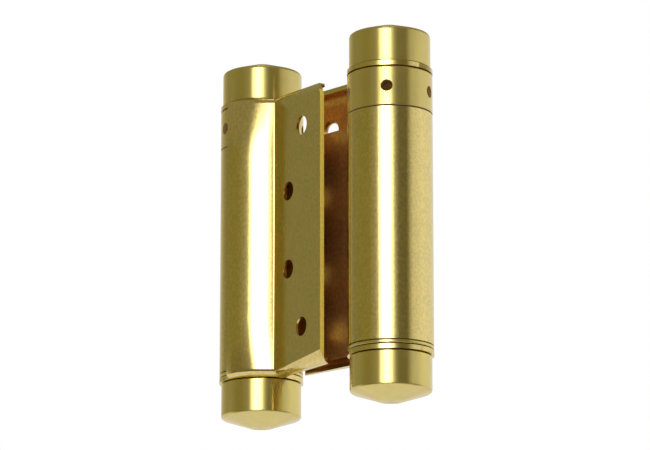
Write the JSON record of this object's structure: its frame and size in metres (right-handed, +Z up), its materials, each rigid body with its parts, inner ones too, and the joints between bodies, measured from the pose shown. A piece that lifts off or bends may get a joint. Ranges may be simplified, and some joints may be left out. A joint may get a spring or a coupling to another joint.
{
  "type": "double acting spring hinge",
  "caption": "Double-acting spring hinge: pressed leaves on the barrels of a curled centre plate, with coil springs, tension collars and domed end caps",
  "frame": {"origin": "on the outer face of the jamb leaf, at mid height, midway between its outer and inner screw rows", "axes": "+X from that face into the hinge, +Y along the face towards the jamb barrel, +Z up along both barrels"},
  "size_m": [0.032, 0.0714, 0.0982],
  "materials": {
    "plate_brass": "polished and lacquered brass plate, very slightly mottled",
    "leaf_brass": "polished and lacquered pressed brass plate, very slightly mottled",
    "turned_brass": "polished turned brass",
    "cap_brass": "polished drawn brass",
    "washer_steel": "plain steel",
    "spring_steel": "oiled spring steel wire",
    "pin_steel": "bright drawn steel",
    "nut_steel": "plain steel"
  },
  "bodies": {
    "jamb_side": {"jamb_leaf": "leaf_brass", "jamb_pin": "pin_steel", "jamb_top_washer": "washer_steel", "jamb_bottom_washer": "washer_steel", "jamb_top_cap": "cap_brass", "jamb_bottom_cap": "cap_brass", "jamb_top_cap_nut": "nut_steel", "jamb_bottom_cap_nut": "nut_steel"},
    "centre": {"centre_plate": "plate_brass", "jamb_barrel_plug": "turned_brass", "door_barrel_plug": "turned_brass", "jamb_spring": "spring_steel", "door_spring": "spring_steel"},
    "door_side": {"door_leaf": "leaf_brass", "door_pin": "pin_steel", "door_top_washer": "washer_steel", "door_bottom_washer": "washer_steel", "door_top_cap": "cap_brass", "door_bottom_cap": "cap_brass", "door_top_cap_nut": "nut_steel", "door_bottom_cap_nut": "nut_steel"},
    "jamb_collar": {"jamb_tension_collar": "turned_brass"},
    "door_collar": {"door_tension_collar": "turned_brass"}
  },
  "joints": [
    {"name": "jamb_pivot", "type": "hinge", "parent": "jamb_side", "child": "centre", "pos_m": [0.00373, 0.02225, 0], "axis": [0, 0, 1], "range_deg": [-9.3, 170.7], "stiffness_Nm_per_rad": 0.45},
    {"name": "door_pivot", "type": "hinge", "parent": "centre", "child": "door_side", "pos_m": [0.01181, -0.02709, 0], "axis": [0, 0, -1], "range_deg": [0, 180], "stiffness_Nm_per_rad": 0.45},
    {"name": "jamb_collar_turn", "type": "hinge", "parent": "centre", "child": "jamb_collar", "pos_m": [0.00373, 0.02225, 0.0308], "axis": [0, 0, 1], "range_deg": [0, 216], "stiffness_Nm_per_rad": 0.05, "deforming": ["jamb_spring"]},
    {"name": "door_collar_turn", "type": "hinge", "parent": "centre", "child": "door_collar", "pos_m": [0.01181, -0.02709, 0.0308], "axis": [0, 0, 1], "range_deg": [0, 216], "stiffness_Nm_per_rad": 0.05, "deforming": ["door_spring"]}
  ]
}
